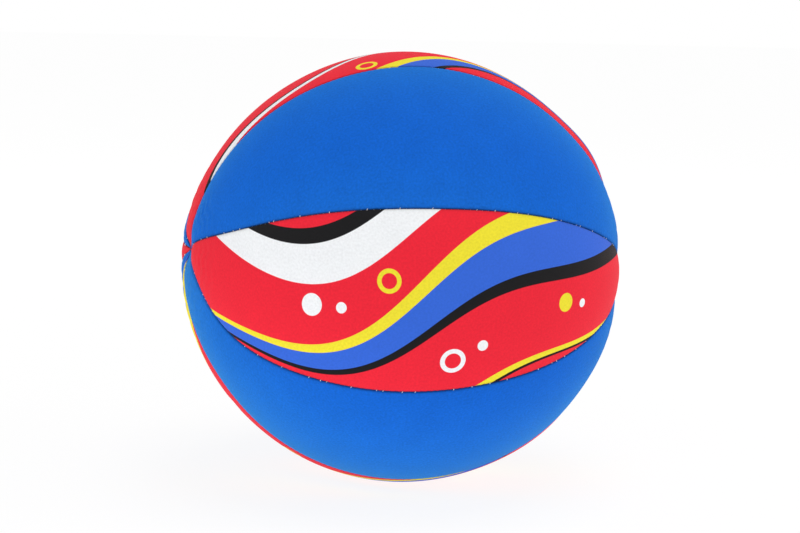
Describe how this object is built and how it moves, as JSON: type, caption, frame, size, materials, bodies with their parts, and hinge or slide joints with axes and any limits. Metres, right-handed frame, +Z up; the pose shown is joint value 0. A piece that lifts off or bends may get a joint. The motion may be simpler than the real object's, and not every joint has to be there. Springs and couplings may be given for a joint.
{
  "type": "inflatable play ball",
  "caption": "Inflatable pool basketball: a sewn foam-rubber cover of plain and printed panels over a rubber bladder, with stitched seams and a needle valve at the back.",
  "frame": {"origin": "centre of the ball", "axes": "+X along the axis through the two poles where all seams meet, +Y out of the valve, +Z up"},
  "size_m": [0.2198, 0.2199, 0.22],
  "materials": {
    "blue_cover": "matt blue knit jersey on foam rubber",
    "printed_cover": "matt knit jersey on foam rubber, red with a dyed-in print",
    "thread": "twisted polyester sewing thread",
    "bladder_rubber": "smooth moulded butyl rubber",
    "valve_rubber": "satin moulded rubber",
    "core_rubber": "soft satin rubber"
  },
  "bodies": {
    "root": {"front_panel": "printed_cover", "upper_front_panel": "blue_cover", "top_panel": "printed_cover", "upper_rear_panel": "blue_cover", "rear_panel": "printed_cover", "lower_rear_panel": "blue_cover", "bottom_panel": "printed_cover", "lower_front_panel": "blue_cover", "front_upper_seam_thread": "thread", "top_front_seam_thread": "thread", "top_rear_seam_thread": "thread", "rear_upper_seam_thread": "thread", "rear_lower_seam_thread": "thread", "bottom_rear_seam_thread": "thread", "bottom_front_seam_thread": "thread", "front_lower_seam_thread": "thread", "bladder": "bladder_rubber", "valve_seat": "valve_rubber", "valve_core": "core_rubber"}
  },
  "joints": []
}
